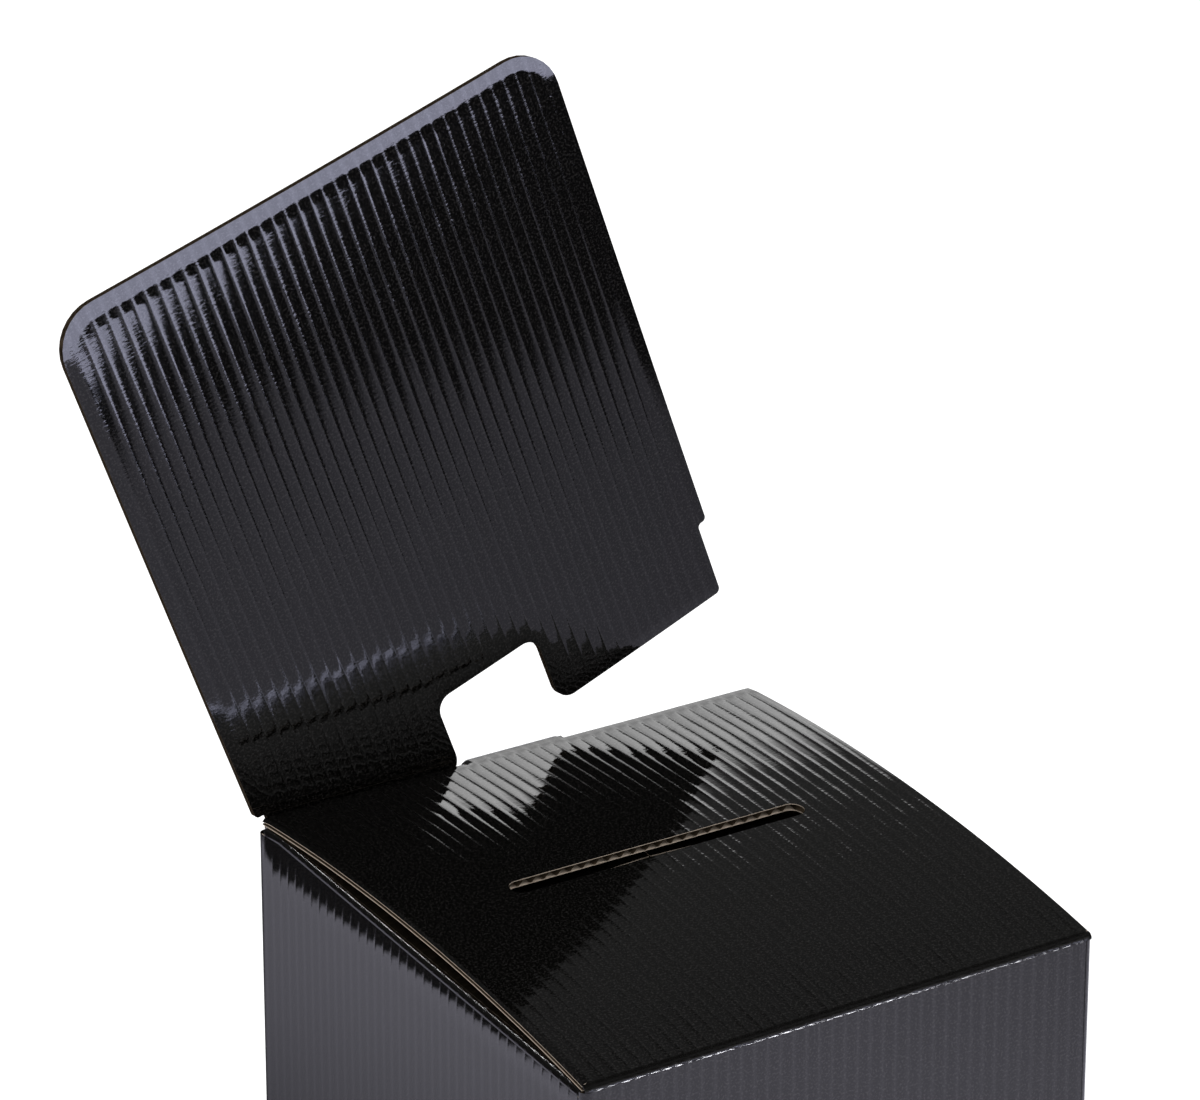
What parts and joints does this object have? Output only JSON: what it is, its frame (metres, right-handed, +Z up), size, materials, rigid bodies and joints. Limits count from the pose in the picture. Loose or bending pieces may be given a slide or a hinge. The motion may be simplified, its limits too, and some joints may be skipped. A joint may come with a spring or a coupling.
{
  "type": "cardboard lead box",
  "caption": "Square corrugated cardboard carton for collecting cards, with a slotted lid that folds up, a tuck tab, folding flaps and a torn-off header card.",
  "frame": {"origin": "middle of the base, on the face of the outer bottom flaps that the box stands on", "axes": "+Z up, -Y towards the front panel that carries the lid's crease, +X to the right seen from the front"},
  "size_m": [0.3893, 0.3435, 0.7184],
  "materials": {
    "black_board": "glossy black printed outer liner over washboarded flutes, kraft brown raw edges",
    "kraft_board": "plain kraft liner"
  },
  "bodies": {
    "box": {"front_panel": "black_board", "back_panel": "black_board", "left_panel": "black_board", "right_panel": "black_board", "glue_flap": "kraft_board", "front_left_crease": "black_board", "front_right_crease": "black_board", "back_left_crease": "black_board", "glue_flap_crease": "black_board", "lid_crease": "black_board", "left_dust_crease": "black_board", "right_dust_crease": "black_board", "bottom_left_crease": "black_board", "bottom_right_crease": "black_board", "bottom_front_crease": "black_board", "bottom_back_crease": "black_board"},
    "lid": {"lid_panel": "black_board", "tuck_tab_crease": "black_board"},
    "tuck_tab": {"tuck_tab": "black_board"},
    "left_dust_flap": {"left_dust_flap": "black_board"},
    "right_dust_flap": {"right_dust_flap": "black_board"},
    "bottom_left_flap": {"bottom_left_flap": "black_board"},
    "bottom_right_flap": {"bottom_right_flap": "black_board"},
    "bottom_front_flap": {"bottom_front_flap": "black_board"},
    "bottom_back_flap": {"bottom_back_flap": "black_board"},
    "header_card": {"header_card": "black_board"}
  },
  "joints": [
    {"name": "lid_fold", "type": "hinge", "parent": "box", "child": "lid", "pos_m": [0, -0.1505, 0.328], "axis": [1, 0, 0], "range_deg": [0, 170]},
    {"name": "tuck_tab_fold", "type": "hinge", "parent": "lid", "child": "tuck_tab", "pos_m": [0.003, 0.1548, 0.3514], "axis": [1, 0, 0], "range_deg": [0, 90]},
    {"name": "left_dust_flap_fold", "type": "hinge", "parent": "box", "child": "left_dust_flap", "pos_m": [-0.1482, 0, 0.33352], "axis": [0, 0.997, 0.0773], "range_deg": [0, 80]},
    {"name": "right_dust_flap_fold", "type": "hinge", "parent": "box", "child": "right_dust_flap", "pos_m": [0.1482, 0, 0.33352], "axis": [0, -0.997, -0.0773], "range_deg": [0, 80]},
    {"name": "bottom_left_flap_fold", "type": "hinge", "parent": "box", "child": "bottom_left_flap", "pos_m": [-0.1482, 0, 0.0083], "axis": [0, -1, 0], "range_deg": [0, 80]},
    {"name": "bottom_right_flap_fold", "type": "hinge", "parent": "box", "child": "bottom_right_flap", "pos_m": [0.1482, 0, 0.0083], "axis": [0, 1, 0], "range_deg": [0, 80]},
    {"name": "bottom_front_flap_fold", "type": "hinge", "parent": "box", "child": "bottom_front_flap", "pos_m": [0, -0.1505, 0.002], "axis": [-1, 0, 0], "range_deg": [0, 170]},
    {"name": "bottom_back_flap_fold", "type": "hinge", "parent": "box", "child": "bottom_back_flap", "pos_m": [0, 0.1505, 0.002], "axis": [1, 0, 0], "range_deg": [0, 170]},
    {"name": "header_card_lift", "type": "slide", "parent": "box", "child": "header_card", "axis": [0, 0, 1], "range_m": [0, 0.25]}
  ]
}
